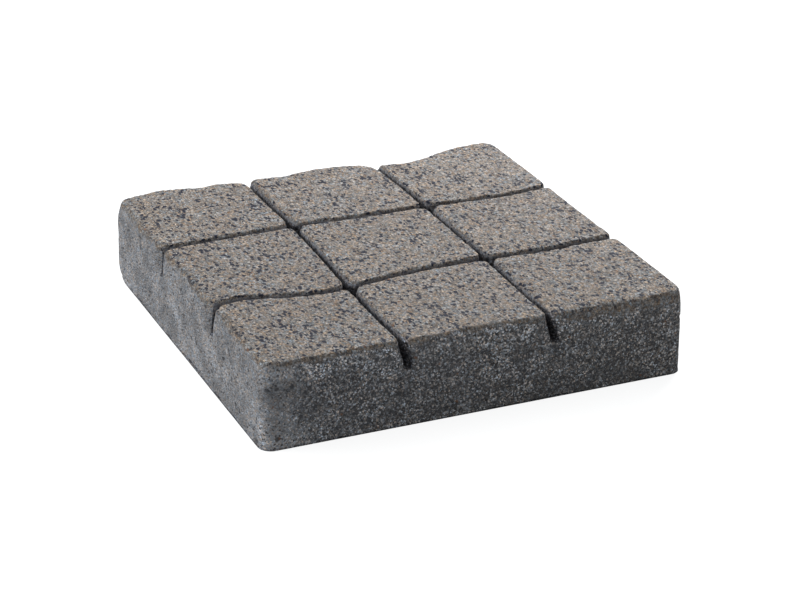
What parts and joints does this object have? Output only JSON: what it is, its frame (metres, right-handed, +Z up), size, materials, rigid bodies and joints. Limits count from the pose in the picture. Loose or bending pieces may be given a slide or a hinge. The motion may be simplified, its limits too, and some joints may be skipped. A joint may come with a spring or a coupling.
{
  "type": "concrete paving slab",
  "caption": "Square cast concrete paving slab whose granite-look face is divided by deep wavy false joints into small setts; laid flat on a bed to pave paths and terraces.",
  "frame": {"origin": "centre of the bed face, at the bottom of the slab", "axes": "+Z up through the slab's thickness, from the bed face to the patterned face; +X and +Y along its sides"},
  "size_m": [0.3, 0.3, 0.06],
  "materials": {
    "concrete": "matt vibropressed concrete; beige-grey washed granite grain with blue-black specks on the face, plain grey pitted concrete on the sides, joints and bed"
  },
  "bodies": {
    "root": {"paving_slab": "concrete"}
  },
  "joints": []
}
